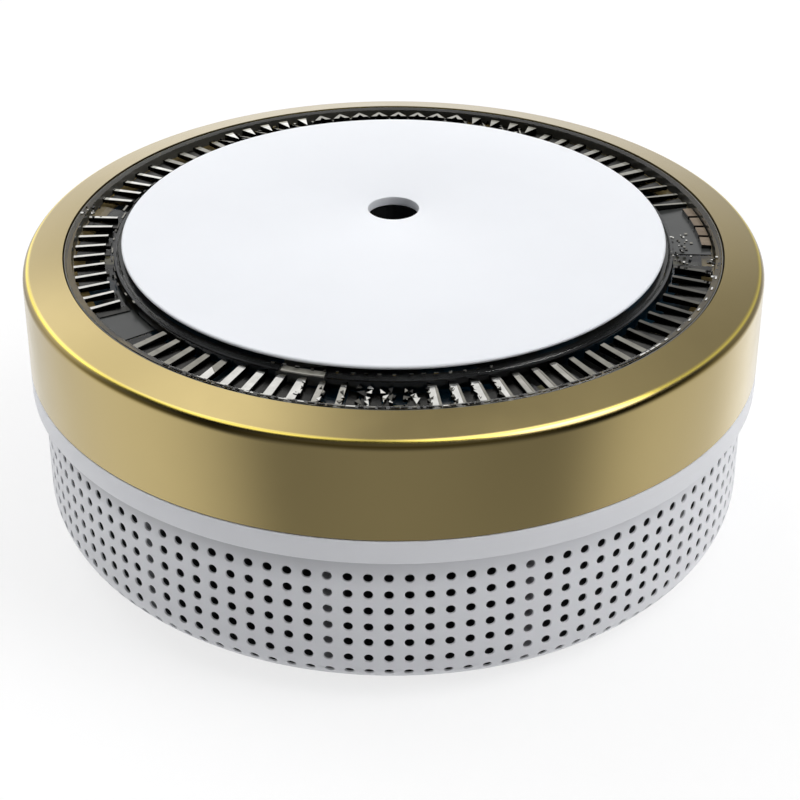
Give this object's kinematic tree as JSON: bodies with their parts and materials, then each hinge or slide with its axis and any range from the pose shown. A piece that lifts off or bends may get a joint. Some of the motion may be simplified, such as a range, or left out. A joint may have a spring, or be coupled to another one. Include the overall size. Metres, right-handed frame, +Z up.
{
  "type": "air quality monitor",
  "caption": "Round table-top air quality monitor: perforated white base, gold trim ring, clear ribbed light ring and a white top disc with one sensing hole.",
  "frame": {"origin": "centre of the underside, on the surface that the unit stands on", "axes": "+Z up along the unit's axis; -Y is the front, +Y is the side with the power inlet"},
  "size_m": [0.12, 0.12, 0.0506],
  "materials": {
    "disc_plastic": "smooth white, semi-gloss",
    "white_plastic": "fine moulded satin white",
    "gold_metal": "satin gold, bead-blasted and anodised look",
    "clear_plastic": "clear polycarbonate light guide with moulded prism teeth",
    "black_plastic": "matt black",
    "rubber": "soft matt silicone",
    "steel": "plain nickel-plated steel",
    "blue_board": "blue solder mask",
    "green_board": "green solder mask",
    "pale_plastic": "pale grey moulded plastic",
    "led_package": "milky lamp package",
    "sensor_case": "matt blue moulded case",
    "module_case": "ivory moulded case",
    "battery_wrap": "silver-grey foil pouch"
  },
  "bodies": {
    "housing": {"top_disc": "disc_plastic", "light_ring": "clear_plastic", "gold_ring": "gold_metal", "upper_housing": "white_plastic", "perforated_base": "white_plastic", "base_plate": "white_plastic", "anti_slip_pad": "rubber", "usb_inlet": "steel", "usb_tongue": "black_plastic", "reset_switch": "steel", "main_board": "green_board", "top_board": "blue_board", "led_01": "led_package", "led_02": "led_package", "led_03": "led_package", "led_04": "led_package", "led_05": "led_package", "led_06": "led_package", "led_07": "led_package", "led_08": "led_package", "led_09": "led_package", "led_10": "led_package", "led_11": "led_package", "led_12": "led_package", "light_sensor": "black_plastic", "centre_tube": "black_plastic", "disc_carrier": "black_plastic", "top_socket": "pale_plastic", "particle_sensor_case": "sensor_case", "particle_sensor_lid": "steel", "fan_motor": "steel", "co2_sensor": "module_case", "co2_membrane": "pale_plastic", "gas_cell": "steel", "voc_sensor": "steel", "humidity_sensor": "pale_plastic", "radio_module": "steel", "processor": "black_plastic", "sounder": "black_plastic", "battery": "battery_wrap", "main_connector": "pale_plastic", "top_connector": "pale_plastic", "ribbon_cable": "black_plastic", "base_screw_1": "steel", "base_screw_2": "steel", "base_screw_3": "steel", "base_screw_4": "steel", "board_screw_1": "steel", "board_screw_2": "steel", "board_screw_3": "steel"},
    "fan": {"fan_rotor": "black_plastic"},
    "button": {"reset_button": "pale_plastic"}
  },
  "joints": [
    {"name": "fan_spin", "type": "hinge", "parent": "housing", "child": "fan", "pos_m": [-0.02, 0.002, 0.02], "axis": [0, 0, 1], "continuous": true},
    {"name": "reset_press", "type": "slide", "parent": "housing", "child": "button", "axis": [0, 0, 1], "range_m": [0, 0.0006], "stiffness_N_per_m": 400, "springref_m": -0.001}
  ]
}
